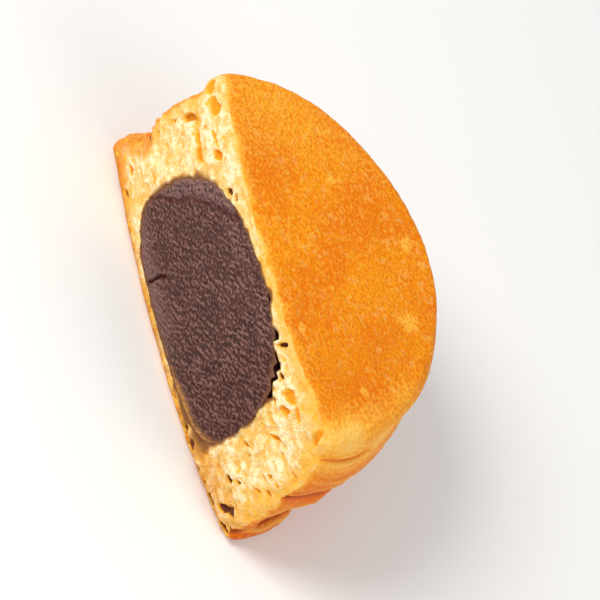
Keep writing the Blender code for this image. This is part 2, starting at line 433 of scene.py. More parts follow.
def makeSkin():
    # the first and last turns stand closely, where the skin is rounded towards the cut
    edgeTurns = [0, 0.004, 0.009]
    middleTurns = np.linspace(0.017, pi - 0.017, skin["turns"])
    turn = np.concatenate([edgeTurns, middleTurns, [pi - t for t in edgeTurns[::-1]]])
    radius, height, sideStart, sideEnd = skinRows(turn)
    radius *= 1 - sideDents(turn, height) / cake["radius"]
    share = height / cake["thickness"]
    onSide = smoothStep(0.0, 0.05, share) * smoothStep(1.0, 0.93, share)
    onSide[:sideStart] = 0
    onSide[sideEnd:] = 0

    # the top crease is smoothed away beside the +X end of the cut
    evened = smoothStep(0.7, 0.3, turn) * smoothStep(0.72, 0.8, share) * onSide
    radius += evened * (np.mean(rowsAround(radius, 8), axis=0) - radius)

    # a crease is where the skin is fuller both above and below
    reach = 12
    around = rowsAround(radius, reach)
    fuller = np.minimum(np.max(around[:reach], axis=0), np.max(around[reach + 1 :], axis=0))
    fold = np.clip((fuller - radius) / 1.5, 0, 1) * onSide
    fold = np.clip(fold * (1 + 0.9 * smoothStep(1.0, 0.6, turn)), 0, 1)
    # underFoldShade marks a band just below each crease, for painted shade there
    underFoldShade = np.mean(rowsAround(fold, 5)[5:], axis=0) * smoothStep(0.9, 0.6, turn)
    pleat, lip = addPleats(turn, share)
    pleat *= onSide * (1 - fold)
    lip *= onSide * (1 - fold)

    points = np.stack([radius * np.cos(turn), radius * np.sin(turn), height], -1)
    flat = points.reshape(-1, 3)
    side = onSide.reshape(-1)
    climb = share.reshape(-1)
    turnOf = np.arctan2(flat[:, 1], flat[:, 0])
    fromAxis = np.hypot(flat[:, 0], flat[:, 1])
    alongSide = 40 * turnOf
    stretched = np.stack([alongSide / 6, flat[:, 2], fromAxis / 3], -1)
    raised = skin["lumps"] * latticeNoise(flat, 9.0, 2) * (0.4 + 1.2 * side)
    raised += 0.07 * latticeNoise(flat, 3.0, 4)
    raised += skin["wrinkles"] * twoNoises(stretched, 1.6, 5) * side
    raised += skin["grain"] * twoNoises(flat, 1.1, 8)
    raised += 0.5 * (lip - pleat * 1.6).reshape(-1)
    # the edge beside the cut is rounded, more at its ends
    endwards = cutEnds(flat)
    rounding = np.exp(-flat[:, 1] / (0.5 + 0.9 * endwards))
    rounding *= 0.8 + 0.5 * latticeNoise(flat * [1, 0, 1], 1.7, 15)
    raised -= skin["softEdge"] * (1 + 1.6 * endwards) * rounding
    raised *= 1 - 0.85 * fold.reshape(-1)  # walls of a deep crease mustn't cross
    underneath = smoothStep(0.03, 0.0, climb) * np.exp(-flat[:, 1] / 0.8)
    nibbles = latticeNoise(flat * [1, 0, 0], 1.3, 95)
    nibbles += 0.6 * latticeNoise(flat * [1, 0, 0], 0.6, 97)
    raised -= 0.45 * underneath * np.clip(0.5 + nibbles, 0, 1.5)

    across = np.gradient(points, axis=1)
    upwards = np.gradient(points, axis=0)
    normal = np.cross(across, upwards).reshape(-1, 3)
    normal /= np.linalg.norm(normal, axis=1)[:, None] + 1e-9
    onCut = flat[:, 1] < 1e-6
    normal[onCut, 1] = 0
    shaped = flat + normal * raised[:, None]
    # each row stays above the one before, so that no two walls cross
    least = skin["rowGap"] * np.arange(sideEnd)[:, None]
    rising = shaped[:, 2].reshape(radius.shape)[:sideEnd] - least
    rising = np.maximum.accumulate(rising, axis=0)
    shaped[: rising.size, 2] = (rising + least).reshape(-1)
    shaped[:, 2] = np.clip(shaped[:, 2], 0, None)
    shaped[onCut, 1] = 0
    shaped[:, 1] += cutEdgeShift(shaped, shaped[:, 1])

    # pale places: the shoulder (widest at the +X end), blisters and flakes, and painted light on the
    # -X half of the top
    outwards = fromAxis / cake["flatTop"]
    shoulder = smoothStep(0.78, 1.04, outwards) * smoothStep(0.66, 0.86, climb)
    shoulder *= 0.15 + 0.85 * smoothStep(0.9, 0.35, turnOf) + 0.3 * smoothStep(2.2, 2.8, turnOf)
    pale = shoulder * (0.8 + 0.4 * latticeNoise(flat, 5.0, 19))
    random = np.random.default_rng(77)
    spots = list(topSpots)
    spotRadius = 39
    for _ in range(skin["blisters"]):
        spotTurn = random.uniform(0.1, pi)
        spotHeight = random.uniform(6, 33)
        size = random.uniform(0.6, 1.7)
        spots.append((spotRadius * cos(spotTurn), spotRadius * sin(spotTurn), spotHeight, size))
    ragged = 1 + 0.5 * latticeNoise(flat, 1.3, 23)
    for x, y, z, size in spots:
        away = np.linalg.norm((flat - [x, y, z]) * [1, 1, 1.3], axis=1) * ragged
        pale = np.maximum(pale, 0.7 * smoothStep(size * 1.4, size * 0.4, away))
    flakes = smoothStep(0.07, 0.02, climb) * (latticeNoise(stretched, 1.2, 29) > 0.2)
    flakes *= smoothStep(0.5, 1.1, turnOf)
    pale = np.clip(np.maximum(pale, 0.7 * flakes * (side > 0)), 0, 1)
    onTop = smoothStep(0.93, 0.97, climb) * (outwards < 1.05)
    # painted light: the top is paler towards its -X end
    pale = np.maximum(pale, 0.42 * onTop * smoothStep(-2, -28, flat[:, 0]))

    # redder low on the side (browner crust with painted shade over it) and painted shade on the +X
    # half of the top; golden beside the cut
    low = smoothStep(0.8, 0.6, climb) * 0.72 + 0.5 * smoothStep(0.42, 0.1, climb)
    low += 0.3 * onTop * smoothStep(0, 26, flat[:, 0])
    goldWidth = 1.6 + 0.8 * smoothStep(10, 34, flat[:, 0]) * smoothStep(0.8, 0.97, climb)
    goldWidth += 0.9 * smoothStep(-24, -34, flat[:, 0]) * smoothStep(0.35, 0.5, climb)
    marks = dict(
        # fold: painted shade in the creases, just below them and in the pleats
        fold=np.clip(np.maximum(fold, underFoldShade) + 1.1 * pleat, 0, 1).reshape(-1),
        pale=pale,
        low=low,
        # lip: painted highlight on the raised lips
        lip=np.clip(2.2 * lip, 0, 1).reshape(-1),
        byCut=np.exp(-flat[:, 1] / goldWidth) * (0.9 + 0.6 * latticeNoise(flat, 1.7, 33)),
    )
    return shaped.reshape(points.shape), marks


# the paste's outline, which its pocket follows


def pasteRows(turn, extra):
    # radius and height of the paste up one side of it; extra is added outwards, as tears are
    side = (1 - cos(turn)) / 2
    halfWidth = paste["right"] + (paste["left"] - paste["right"]) * side
    plusPower, minusPower = paste["upperPowers"]
    upperPower = plusPower + (minusPower - plusPower) * side
    climb = -1 + (2 * np.arange(paste["steps"]) + 1) / paste["steps"]
    across = np.cos(climb * pi / 2)
    up = np.sin(climb * pi / 2)
    power = np.where(climb < 0, paste["lowerPower"], upperPower)
    span = np.where(climb < 0, paste["waist"] - paste["floor"], paste["roof"] - paste["waist"])
    height = paste["waist"] + span * np.sign(up) * np.abs(up) ** (2 / power)
    radius = halfWidth * across ** (2 / power)
    outwards = extra(climb, turn)
    return radius + outwards * across, height + outwards * up * np.where(climb < 0, 0.5, 1)


def tornOut(climb, turn):
    # how far the tears reach, most at the cut
    intoCake = max(0, 1 - turn / 0.35)
    climbs, depths = zip(*tears)
    depth = np.interp(climb, climbs, depths, left=0, right=0)
    ragged = 1 + 0.15 * np.sin(climb * 61) + 0.15 * np.sin(climb * 97 + 1)
    return depth * intoCake * ragged


def wobble(climb, turn):
    # how far the outline wanders
    broad = 0.5 * np.sin(climb * 9 + 3 * turn) + 0.25 * np.sin(climb * 21 + 5 * turn + 1)
    fine = 0.1 * np.sin(climb * 57 + 2 * turn) + 0.08 * np.sin(climb * 83 + 9 * turn + 1)
    return paste["raggedness"] * broad + fine


def pasteGrid(extra):
    # more turns close to the cut, where the walls show in the tears
    share = np.linspace(0, 1, paste["turns"] + 1)
    squash = paste["depth"] / paste["left"]
    columns = []
    for turn in pi * (share - paste["crowding"] * np.sin(4 * pi * share)):
        radius, height = pasteRows(turn, extra)
        columns.append(np.stack([radius * cos(turn), squash * radius * sin(turn), height], -1))
    grid = np.stack(columns, 1)
    grid[:, 0, 1] = 0
    grid[:, -1, 1] = 0
    return grid


# the crumb at the cut: holes, streaks, smears and browned edges
crumb = dict(
    spacing=0.21,
    rough=0.07,
    streaks=0.12,
    hollows=0.3,
    mediumHoles=240,
    fineHoles=160,
    raggedWidth=8,  # how far from the rim the cut's edge still wanders
)
# x, z, half length, half width, tilt in degrees, depth, how dark inside
bigHoles = [
    (-30.2, 32.4, 2.2, 1.3, 25, 1.1, 0.1),
    (-34.6, 32.2, 1.9, 1.1, -20, 0.9, 0.05),
    (-32.1, 24.6, 1.5, 0.9, 60, 1.2, 0.35),
    (-30.6, 26.0, 0.9, 0.4, 10, 0.8, 0.3),
    (-24.3, 25.1, 1.7, 0.8, 5, 1.2, 0.2),
    (-27.2, 25.4, 2.2, 0.6, -4, 0.7, 0.0),
    (-21.6, 30.2, 1.5, 0.9, 30, 1.1, 0.15),
    (-24.6, 30.6, 2.0, 0.6, 8, 0.7, 0.0),
    (-33.8, 15.2, 0.8, 0.5, 30, 0.9, 0.3),
    (-30.8, 16.5, 0.5, 0.35, 0, 0.7, 0.3),
    (-33.6, 20.5, 0.6, 0.4, 80, 0.7, 0.2),
    (-33.3, 7.9, 0.7, 0.4, 50, 0.8, 0.3),
    (-27.9, 28.7, 0.5, 0.4, 0, 0.6, 0.2),
    (-31.8, 4.9, 1.2, 0.4, 10, 0.8, 0.4),
    (-28.2, 2.0, 1.4, 0.45, 5, 0.8, 0.5),
    (-26.3, 11.7, 1.3, 0.4, 0, 0.7, 0.3),
    (-13.9, 31.1, 1.0, 0.6, 40, 1.0, 1.0),
    (-11.7, 32.5, 0.8, 0.45, -10, 0.8, 0.85),
    (14.4, 32.9, 0.9, 0.45, 60, 1.1, 0.9),
    (17.2, 33.4, 1.3, 0.5, 65, 1.3, 0.95),
    (21.9, 30.9, 1.0, 0.55, 30, 1.2, 0.95),
    (24.9, 26.9, 0.9, 0.4, 20, 1.0, 0.8),
    (27.6, 28.8, 1.5, 0.75, 60, 0.8, 0.1),
    (29.6, 31.2, 1.8, 0.55, -25, 0.7, 0.1),
    (26.2, 31.4, 1.8, 1.0, 20, 0.9, 0.1),
    (30.4, 23.2, 1.9, 0.45, 42, 0.8, 0.25),
    (34.9, 33.4, 2.0, 0.75, -62, 0.9, 0.05),
    (27.6, 24.3, 0.9, 0.6, 0, 0.6, 0.1),
    (28.2, 15.5, 0.9, 0.45, 20, 0.9, 0.5),
    (30.2, 15.3, 0.6, 0.4, 0, 0.8, 0.4),
    (31.9, 8.8, 1.05, 0.9, 20, 1.4, 0.9),
    (33.2, 10.6, 0.5, 0.4, 0, 0.9, 0.7),
    (32.6, 1.6, 1.5, 1.2, 20, 1.1, 1.0),
    (35.7, 5.0, 1.6, 0.7, 55, 1.5, 0.95),
    (36.9, 6.3, 1.2, 0.7, -25, 1.4, 0.95),
    (38.2, 2.0, 1.7, 1.0, 0, 1.1, 0.95),
    (22.1, 1.7, 1.5, 1.15, 0, 1.0, 1.0),
    (26.5, 1.6, 1.4, 1.0, 0, 1.0, 1.0),
    (18.8, 1.4, 1.2, 0.9, 0, 0.9, 0.95),
    (29.6, 2.2, 0.8, 0.6, 0, 0.8, 0.85),
    (24.6, 4.1, 0.6, 0.4, 40, 0.5, 0.6),
    (12.2, 1.0, 0.7, 0.4, 0, 0.5, 0.7),
    (5.4, 0.9, 0.7, 0.35, 0, 0.5, 0.7),
    (36.4, 14.0, 1.0, 0.35, 25, 0.8, 0.3),
    (37.9, 16.2, 0.9, 0.45, 40, 0.9, 0.4),
    (38.0, 20.0, 0.7, 0.4, -20, 0.7, 0.3),
    (38.0, 24.0, 1.1, 0.4, 30, 0.8, 0.25),
    (36.0, 19.2, 0.7, 0.4, 60, 0.7, 0.3),
]


def scatterHoles():
    # the big holes and many small ones, mostly at the ends of the cut
    random = np.random.default_rng(7)
    holes = list(bigHoles)
    for low, high, count in ((0.35, 0.8, crumb["mediumHoles"]), (0.2, 0.34, crumb["fineHoles"])):
        for _ in range(count):
            length = random.uniform(low, high)
            places = [random.normal(-30, 6), random.normal(31, 6), random.uniform(-38, 38)]
            x = random.choice(places)
            z = random.uniform(0.5, 35.5)
            width = length * random.uniform(0.3, 0.7)
            tilt = random.normal(0, 30)
            depth = width * random.uniform(0.4, 0.8)
            holes.append((x, z, length, width, tilt, depth, 0.0))
    return holes


def edgeDrop(points, rimDistance):
    # the cut face falls back towards its edge, more at its ends
    endwards = cutEnds(points)
    width = 1.0 + 1.8 * endwards
    return skin["softEdge"] * (0.6 + 1.6 * endwards) * np.clip(1 - rimDistance / width, 0, 1) ** 2


def crumbRelief(points, mouthDistance, rimDistance):
    # how far the cut face is pushed in, with marks for the colours
    x, z = points.T
    flat = onPlane(points)
    bend = np.stack([latticeNoise(flat, 1.6, 31), latticeNoise(flat, 1.6, 37)], -1)
    fine = np.stack([latticeNoise(flat, 0.5, 41), latticeNoise(flat, 0.5, 43)], -1)
    warped = points + bend * 0.3 + fine * 0.13
    hole = np.zeros(len(points))
    dark = np.zeros(len(points))
    for holeX, holeZ, length, width, tilt, depth, darkness in scatterHoles():
        dx, dz = (warped - [holeX, holeZ]).T
        near = (np.abs(dx) < length) & (np.abs(dz) < length)
        if not near.any():
            continue
        turned = radians(tilt)
        along = (dx[near] * cos(turned) + dz[near] * sin(turned)) / length
        aside = (dz[near] * cos(turned) - dx[near] * sin(turned)) / width
        bowl = np.clip(1 - along**2 - aside**2, 0, 1) ** 0.6
        hole[near] = np.maximum(hole[near], depth * bowl)
        dark[near] = np.maximum(dark[near], darkness * np.minimum(bowl * 1.6, 1))
    closed = 0.1 + 0.6 * smoothStep(1, 4, z)
    opened = smoothStep(0, 1, (rimDistance - 0.1) / closed) * smoothStep(0.0, 0.4, mouthDistance)
    hole *= opened
    dark *= opened
    # crumb drawn out along the cake, more towards its ends
    drawn = np.stack([x / 3.0, 0 * x, z + 0.6 * bend[:, 0]], -1)
    streak = 0.7 * latticeNoise(drawn, 0.9, 61) + 0.7 * latticeNoise(flat, 1.3, 63)
    streak += 0.4 * latticeNoise(drawn, 0.45, 65)
    hollow = latticeNoise(drawn, 2.4, 67)
    rough = twoNoises(flat, 0.8, 51)
    torn = 1 + 1.2 * smoothStep(14, 28, x) + 0.3 * smoothStep(-20, -30, x)
    pushed = crumb["rough"] * rough - crumb["streaks"] * streak - crumb["hollows"] * hollow
    pushed = pushed * torn + 0.15 * latticeNoise(flat, 5.0, 57)
    pushed *= smoothStep(0.0, 0.9, rimDistance)
    pushed *= 0.4 + 0.6 * smoothStep(0.0, 1.2, mouthDistance)
    pushed += edgeDrop(points, rimDistance)

    # paste smeared into the crumb
    low = smoothStep(14, 4, z)
    stainReach = 0.35 + 3.0 * low * smoothStep(4, 22, x)
    stainReach += (1.1 * smoothStep(-15, -22, x) + 0.35) * smoothStep(5, 9, z)
    stainReach *= 0.9 + 0.7 * latticeNoise(flat, 2.1, 99)
    stain = smoothStep(1.0, 0.0, (mouthDistance + 0.2 * streak + 0.4 * bend[:, 0]) / stainReach)

    # gold towards the skin, but not under the top's -X half
    underTop = smoothStep(29, 34, z)
    goldReach = 2.6 + 2.0 * smoothStep(24, 36, np.abs(x))
    goldReach += 0.6 * smoothStep(2, 16, x) * smoothStep(20, 30, z)
    fromRim = rimDistance - 0.1 + 0.8 * bend[:, 1] + 0.4 * rough
    gold = smoothStep(0, 1, 1 - fromRim / goldReach)
    gold *= 1 - 0.75 * underTop * smoothStep(8, -6, x) * smoothStep(-37, -33, x)
    # in the low +X corner the gold and brown are partly painted shade, less on raised streaks
    corner = smoothStep(13, 2, z) * smoothStep(10, 28, x)
    gold = np.maximum(gold, corner * (0.8 - 0.3 * streak))
    rimGold = smoothStep(0.8, 0.0, rimDistance + 0.6 * bend[:, 0] + 0.3 * fine[:, 0])
    gold = np.maximum(gold, 0.8 * rimGold)

    # brown along the underside and in the low +X corner, browned crumb with painted shade over it;
    # toasted at the -X end
    line = smoothStep(0.55, 0.0, rimDistance + 0.15 * rough)
    line *= (1 - underTop) * smoothStep(28, 10, x)
    spotty = 1.3 * latticeNoise(flat, 2.0, 101) * smoothStep(-12, 10, x)
    brownAndShade = 0.8 * smoothStep(2.8, 0.2, z + 0.5 * rough + 0.4 * bend[:, 0] + spotty)
    brownAndShade = np.maximum(brownAndShade, corner * (0.42 + 0.3 * rough - 0.3 * streak))
    toastReach = 1.3 + 3.2 * smoothStep(14, 10, z)
    toasted = smoothStep(1, 0.1, (rimDistance + 0.6 * bend[:, 1] + 0.3 * rough) / toastReach)
    toasted *= smoothStep(-28, -33, x) * smoothStep(31, 26, z)
    marks = dict(
        # hole also gives the painted shade in the holes, darker where they are deeper
        hole=np.clip(hole / 0.7, 0, 1),
        dark=dark,
        # streak is high on raised crumb and low in its dips, for painted highlight and painted shade
        streak=np.clip(0.55 + 0.7 * streak + 0.3 * hollow, 0, 1),
        stain=stain,
        gold=gold,
        toast=toasted,
        # brownAndShade: browned crumb with painted shade along the underside and in the low +X
        # corner
        brownAndShade=np.clip(brownAndShade + 0.6 * line, 0, 1),
    )
    return pushed + hole, marks


def makeCake(materials):
    skinGrid, skinMarks = makeSkin()
    skinIndex = gridNumbers(skinGrid)

    def mouthShape(climb, turn):
        return wobble(climb, turn) - paste["overlap"] + tornOut(climb, turn)

    pocketGrid = pasteGrid(mouthShape)
    pocketIndex = gridNumbers(pocketGrid, skinIndex.size)

    rimIndex = aroundGrid(skinIndex)
    mouthIndex = aroundGrid(pocketIndex)
    points = np.concatenate([skinGrid.reshape(-1, 3), pocketGrid.reshape(-1, 3)])
    rim = points[rimIndex][:, [0, 2]]
    mouth = points[mouthIndex][:, [0, 2]]
    scatter, cutFaces = fillCut(rim, [mouth], crumb["spacing"], 3)
    scatterIndex = len(points) + np.arange(len(scatter))
    cutFaces = np.concatenate([rimIndex, mouthIndex, scatterIndex])[cutFaces]

    rimDistance = distanceToOutline(scatter, rim)
    mouthDistance = distanceToOutline(scatter, mouth)
    pushed, cutMarks = crumbRelief(scatter, mouthDistance, rimDistance)
    cutPoints = np.stack([scatter[:, 0], pushed, scatter[:, 1]], -1)
    nearRim = rimDistance < crumb["raggedWidth"]
    cutPoints[nearRim, 1] += cutEdgeShift(cutPoints[nearRim], rimDistance[nearRim])
    drop = edgeDrop(points, 0) * np.exp(-points[:, 1] / 2.0)
    drop[pocketIndex.reshape(-1)] = 0
    points[:, 1] += drop
    points = swellCut(np.concatenate([points, cutPoints]))
    cutFaces = faceForward(points, cutFaces)

    skinFaces = closedGrid(skinIndex)
    pocketFaces = closedGrid(pocketIndex, flip=True)
    faces = skinFaces + cutFaces.tolist() + pocketFaces
    slots = [0] * len(skinFaces) + [1] * (len(cutFaces) + len(pocketFaces))

    marks = {}
    for name, values in skinMarks.items():
        marks[name] = np.concatenate([values, np.zeros(len(points) - len(values))])
    for name, values in cutMarks.items():
        marks[name] = np.concatenate([np.zeros(len(points) - len(values)), values])
    marks["stain"][pocketIndex.reshape(-1)] = 1
    return makePiece("half_cake", points, faces, materials, slots, marks, cake["sharpAngle"])


# the paste's own face at the cut
pasteFace = dict(
    spacing=0.17,
    swell=0.4,
    ridge=0.11,
    grain=0.04,
    strokeTilt=35,  # in degrees
    strokeLength=2.2,  # how many times as long as wide
    grooveWidth=0.65,
    grooveDepth=0.4,
    crackWidth=0.34,
    crackDepth=0.8,
    stuck=0.42,  # how much of the tears is filled by paste
    sharpAngle=80,
)
# x, z along the groove that cuts off a strip at the -X end
grooveLine = [(-26, 4), (-24.1, 8), (-21.9, 13), (-19.2, 17.5), (-16.2, 23), (-13, 27), (-9, 31)]


def noiseSlope(points, size, seed, shift):
    # how steeply noise climbs along shift, as small ridges do
    return latticeNoise(points + shift, size, seed) - latticeNoise(points - shift, size, seed)


def makePaste(material):
    def smearedShape(climb, turn):
        # in the tears some paste sticks to the crumb
        stuck = pasteFace["stuck"] * tornOut(climb, turn)
        return wobble(climb, turn) + stuck * (0.8 + 0.4 * np.sin(climb * 71))

    grid = pasteGrid(smearedShape)
    index = gridNumbers(grid)
    points = grid.reshape(-1, 3)
    rimIndex = aroundGrid(index)
    rim = points[rimIndex][:, [0, 2]]
    scatter, cutFaces = fillCut(rim, [], pasteFace["spacing"], 5)
    cutFaces = np.concatenate([rimIndex, len(points) + np.arange(len(scatter))])[cutFaces]

    # short ridges where the blade dragged, finer grains between them
    x, z = scatter.T
    flat = onPlane(scatter)
    bend = latticeNoise(flat, 2.6, 59)
    tilt = radians(pasteFace["strokeTilt"])
    along = x * cos(tilt) + z * sin(tilt)
    aside = z * cos(tilt) - x * sin(tilt)
    drag = np.stack([along / pasteFace["strokeLength"] + 0.4 * bend, 0 * x, aside + 0.5 * bend], -1)
    ridge = 1.15 * noiseSlope(drag, 0.4, 61, np.array([0, 0, 0.16]))
    ridge += 0.7 * noiseSlope(flat, 0.4, 63, np.array([0.1, 0, 0.12]))
    ridge += 0.3 * latticeNoise(flat, 2.4, 69) + 0.35 * latticeNoise(flat, 0.3, 70)
    grain = latticeNoise(flat, 0.45, 67)
    edge = distanceToOutline(scatter, rim)

    # the groove, its strip, and a crack up from the floor
    grooveX, grooveZ = zip(*grooveLine)
    fromGroove = x - np.interp(z, grooveZ, grooveX) + 0.5 * latticeNoise(flat, 2.0, 73)
    groove = np.exp(-((fromGroove / pasteFace["grooveWidth"]) ** 2))
    groove *= 0.8 + 0.5 * latticeNoise(flat, 2.2, 75)
    strip = smoothStep(0.2, -0.5, fromGroove)
    fromCrack = x + 9.6 - 0.3 * (z - 3.5) + 0.4 * latticeNoise(flat, 1.2, 77)
    crack = np.exp(-((fromCrack / pasteFace["crackWidth"]) ** 2)) * smoothStep(9.4, 7.0, z)

    # crumb smeared over the paste's edge, widest low beside the +X end
    low = smoothStep(13, 3, z)
    reach = 0.3 + 2.8 * low * smoothStep(0, 16, x)
    reach += 1.2 * smoothStep(-18, -23, x) * smoothStep(6, 10, z)
    reach += 1.2 * smoothStep(6, 14, x) * smoothStep(20, 26, z)
    smear = smoothStep(1, 0, (edge + 0.5 * bend + 0.5 * ridge) / reach)
    smear *= 0.55 + 0.45 * low * smoothStep(-4, 12, x)
    # paleAndSheen: paler paste low towards the -X end, with a painted sheen over it
    paleAndSheen = 0.9 * smoothStep(9, 4, z - 0.5 * bend) * smoothStep(12, -6, x)
    # plusEnd: towards the +X end, where the paste is painted darker as shade and its ridges are
    # stronger
    plusEnd = smoothStep(4, 18, x)
    ridge *= 1 - 0.45 * paleAndSheen + 0.5 * plusEnd

    pushed = -pasteFace["ridge"] * ridge - pasteFace["grain"] * grain
    pushed -= 0.18 * latticeNoise(flat, 6.0, 71) + 0.15 * strip
    pushed += pasteFace["grooveDepth"] * groove + pasteFace["crackDepth"] * crack
    pushed -= pasteFace["swell"] * smoothStep(0, 3, edge)
    pushed = pushed * smoothStep(0, 0.5, edge) + 0.1
    cutPoints = np.stack([x, pushed, z], -1)
    points = swellCut(np.concatenate([points, cutPoints]))
    faces = closedGrid(index)
    slots = [0] * (len(faces) + len(cutFaces))
    faces += faceForward(points, cutFaces).tolist()
    cutMarks = dict(
        # ridge is light on crests and dark between them: painted highlight and painted shade
        ridge=np.clip(0.5 + 0.5 * ridge, 0, 1),
        smear=smear,
        # groove gives painted shade in the groove, the crack and towards the +X end
        groove=np.clip(groove + 2.2 * crack + 0.38 * plusEnd, 0, 1),
        # greyerAndSheen: the greyer strip, and the paler paste with its painted sheen
        greyerAndSheen=np.clip(0.7 * strip + paleAndSheen, 0, 1),
    )
    lead = np.zeros(grid.shape[0] * grid.shape[1])
    marks = {name: np.concatenate([lead, values]) for name, values in cutMarks.items()}
    return makePiece("bean_paste", points, faces, [material], slots, marks, pasteFace["sharpAngle"])


# materials


def srgb(red, green, blue):
    # a colour as seen on a screen, from 0 to 255, as the shader wants it
    linear = []
    for value in (red, green, blue):
        share = value / 255
        linear.append(share / 12.92 if share <= 0.04045 else ((share + 0.055) / 1.055) ** 2.4)
    return (*linear, 1)


def node(tree, kind, x, y, **settings):
    made = tree.nodes.new(kind)
    made.location = (x, y)
    for name, value in settings.items():
        setattr(made, name, value)
    return made


def wire(tree, source, target):
    tree.links.new(source, target)


def feed(tree, sockets, values):
    # values are numbers, colours or other nodes' sockets
    for socket, value in zip(sockets, values):
        if isinstance(value, bpy.types.NodeSocket):
            wire(tree, value, socket)
        else:
            socket.default_value = value


def colourMix(tree, x, y, below, above, factor):
    made = node(tree, "ShaderNodeMix", x, y, data_type="RGBA")
    feed(tree, (made.inputs[6], made.inputs[7], made.inputs[0]), (below, above, factor))
    return made.outputs[2]


def ramp(tree, x, y, value, low, high, toLow=0.0, toHigh=1.0):
    made = node(tree, "ShaderNodeMapRange", x, y, interpolation_type="SMOOTHSTEP")
    feed(tree, made.inputs, (value, low, high, toLow, toHigh))
    return made.outputs[0]


def maths(tree, x, y, operation, *values):
    made = node(tree, "ShaderNodeMath", x, y, operation=operation)
    feed(tree, made.inputs, values)
    return made.outputs[0]


def mark(tree, y, name):
    return node(tree, "ShaderNodeAttribute", -1400, y, attribute_name=name).outputs["Fac"]


def layTones(tree, colour, layers):
    # lays tones over a colour one by one. A layer is a tone and a value, and then where the value
    # starts to show it, where it is full and how full, or else a share to multiply the value by.
    for count, (tone, value, *amounts) in enumerate(layers):
        x = 200 * count - 800
        if len(amounts) == 1:
            factor = maths(tree, x - 180, 0, "MULTIPLY", value, amounts[0])
        else:
            low, high, most = amounts
            factor = ramp(tree, x - 180, 0, value, low, high, 0.0, most)
        colour = colourMix(tree, x, 300, colour, srgb(*tone), factor)
    return colour


def newGroup(name, inputs, outputs):
    tree = bpy.data.node_groups.new(name, "ShaderNodeTree")
    for socketName, default in inputs.items():
        made = tree.interface.new_socket(socketName, in_out="INPUT", socket_type="NodeSocketFloat")
        made.default_value = default
    for socketName in outputs:
        tree.interface.new_socket(socketName, in_out="OUTPUT", socket_type="NodeSocketFloat")
    return tree, node(tree, "NodeGroupInput", -900, 0), node(tree, "NodeGroupOutput", 600, 0)


def useGroup(tree, group, x, y, **values):
    made = node(tree, "ShaderNodeGroup", x, y, node_tree=group)
    for name, value in values.items():
        made.inputs[name].default_value = value
    return made


def makeBreadGrain():
    # fine grain of baked or broken dough: a height, pale flecks and a soft mottle. Size is in mm.
    inputs = dict(Size=1.0, Seed=0.0)
    tree, given, result = newGroup("breadGrain", inputs, ["Height", "Flecks", "Mottle"])
    where = node(tree, "ShaderNodeTexCoord", -900, 300)
    perMetre = maths(tree, -700, 0, "DIVIDE", 1000, given.outputs["Size"])
    fine = node(tree, "ShaderNodeTexNoise", -400, 200, noise_dimensions="4D")
    fine.inputs["Detail"].default_value = 2
    fine.inputs["Roughness"].default_value = 0.55
    flecks = node(tree, "ShaderNodeTexNoise", -400, -100, noise_dimensions="4D")
    flecks.inputs["Detail"].default_value = 1
    broad = node(tree, "ShaderNodeTexNoise", -400, -400, noise_dimensions="4D")
    broad.inputs["Detail"].default_value = 3
    for texture in (fine, flecks, broad):
        wire(tree, where.outputs["Object"], texture.inputs["Vector"])
        wire(tree, given.outputs["Seed"], texture.inputs["W"])
    wire(tree, perMetre, fine.inputs["Scale"])
    wire(tree, maths(tree, -550, -100, "MULTIPLY", perMetre, 0.8), flecks.inputs["Scale"])
    wire(tree, maths(tree, -550, -400, "MULTIPLY", perMetre, 0.09), broad.inputs["Scale"])
    wire(tree, ramp(tree, 150, 200, fine.outputs["Fac"], 0.25, 0.75), result.inputs["Height"])
    wire(tree, ramp(tree, 150, -100, flecks.outputs["Fac"], 0.58, 0.72), result.inputs["Flecks"])
    wire(tree, ramp(tree, 150, -400, broad.outputs["Fac"], 0.35, 0.65), result.inputs["Mottle"])
    return tree


def newMaterial(name, **fixed):
    # fixed values are the shader's own sockets, with _ for each space
    material = bpy.data.materials.new(name)
    material.use_nodes = True
    tree = material.node_tree
    shader = tree.nodes["Principled BSDF"]
    shader.location = (2400, 0)
    tree.nodes["Material Output"].location = (2700, 0)
    for socketName, value in fixed.items():
        shader.inputs[socketName.replace("_", " ")].default_value = value
    return material, tree, shader


def bump(tree, shader, height, distance):
    # distance is in metres, as Subsurface_Scale is below
    made = node(tree, "ShaderNodeBump", 2150, -300)
    made.inputs["Distance"].default_value = distance
    wire(tree, height, made.inputs["Height"])
    wire(tree, made.outputs["Normal"], shader.inputs["Normal"])


crustLook = dict(
    Roughness=0.5,
    Specular_IOR_Level=0.13,
    Subsurface_Weight=0.05,
    Subsurface_Scale=0.002,
)
crumbLook = dict(
    Roughness=0.7,
    Specular_IOR_Level=0.3,
    Subsurface_Weight=0.3,
    Subsurface_Scale=0.002,
)
pasteLook = dict(
    Roughness=0.42,
    Specular_IOR_Level=0.35,
    Subsurface_Weight=0.03,
    Subsurface_Scale=0.001,
)


